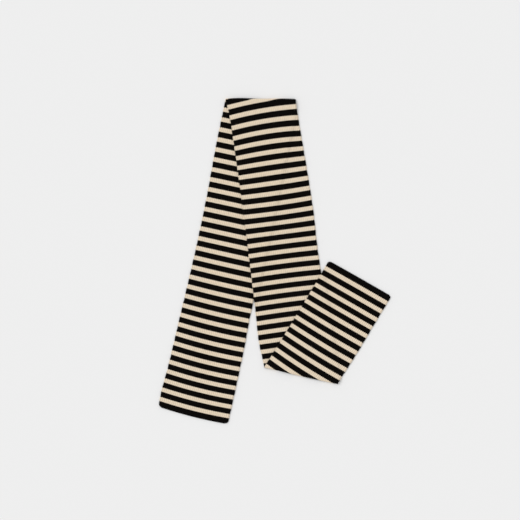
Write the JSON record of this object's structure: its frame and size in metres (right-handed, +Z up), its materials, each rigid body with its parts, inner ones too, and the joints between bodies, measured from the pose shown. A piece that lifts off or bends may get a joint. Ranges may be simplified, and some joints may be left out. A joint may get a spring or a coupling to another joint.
{
  "type": "knitted striped scarf",
  "caption": "Slim rib-knit scarf with even crosswise stripes in two yarns, a flat tube closed at both ends, folded into a long span, a middle span and a short turned end.",
  "frame": {"origin": "on the table, under the centre of the folded scarf's outline", "axes": "+Z up from the table, +Y away from the viewer towards the top fold, +X to the right"},
  "size_m": [0.4642, 0.654, 0.0072],
  "materials": {
    "black_rib_knit": "matt fine rib knit in soft-spun black yarn",
    "beige_rib_knit": "matt fine rib knit in soft-spun beige yarn",
    "seam_yarn": "matt plied black sewing yarn, pulled into a dense round edge"
  },
  "bodies": {
    "long_span": {"long_upper_black_bands": "black_rib_knit", "long_upper_beige_bands": "beige_rib_knit", "long_lower_ply": "black_rib_knit", "long_lower_beige_bands": "beige_rib_knit", "long_end_seam": "seam_yarn", "top_fold_outer_black": "black_rib_knit", "top_fold_outer_beige": "beige_rib_knit", "top_fold_inner_black": "black_rib_knit", "top_fold_inner_beige": "beige_rib_knit"},
    "middle_span": {"middle_upper_black_bands": "black_rib_knit", "middle_upper_beige_bands": "beige_rib_knit", "middle_lower_ply": "black_rib_knit", "middle_lower_beige_bands": "beige_rib_knit", "lower_fold_outer_black": "black_rib_knit", "lower_fold_outer_beige": "beige_rib_knit", "lower_fold_inner_black": "black_rib_knit", "lower_fold_inner_beige": "beige_rib_knit"},
    "turned_end": {"turned_upper_black_bands": "black_rib_knit", "turned_upper_beige_bands": "beige_rib_knit", "turned_lower_ply": "black_rib_knit", "turned_lower_beige_bands": "beige_rib_knit", "turned_end_seam": "seam_yarn"}
  },
  "joints": [
    {"name": "top_fold", "type": "hinge", "parent": "long_span", "child": "middle_span", "pos_m": [-0.02642, 0.32088, 0.0036], "axis": [-0.9994, 0.034, 0], "range_deg": [0, 180], "deforming": ["top_fold_outer_black", "top_fold_outer_beige", "top_fold_inner_black", "top_fold_inner_beige"]},
    {"name": "lower_fold", "type": "hinge", "parent": "middle_span", "child": "turned_end", "pos_m": [0.05293, -0.22979, 0.0036], "axis": [0.9785, -0.2062, 0], "range_deg": [0, 180], "deforming": ["lower_fold_outer_black", "lower_fold_outer_beige", "lower_fold_inner_black", "lower_fold_inner_beige"]}
  ]
}
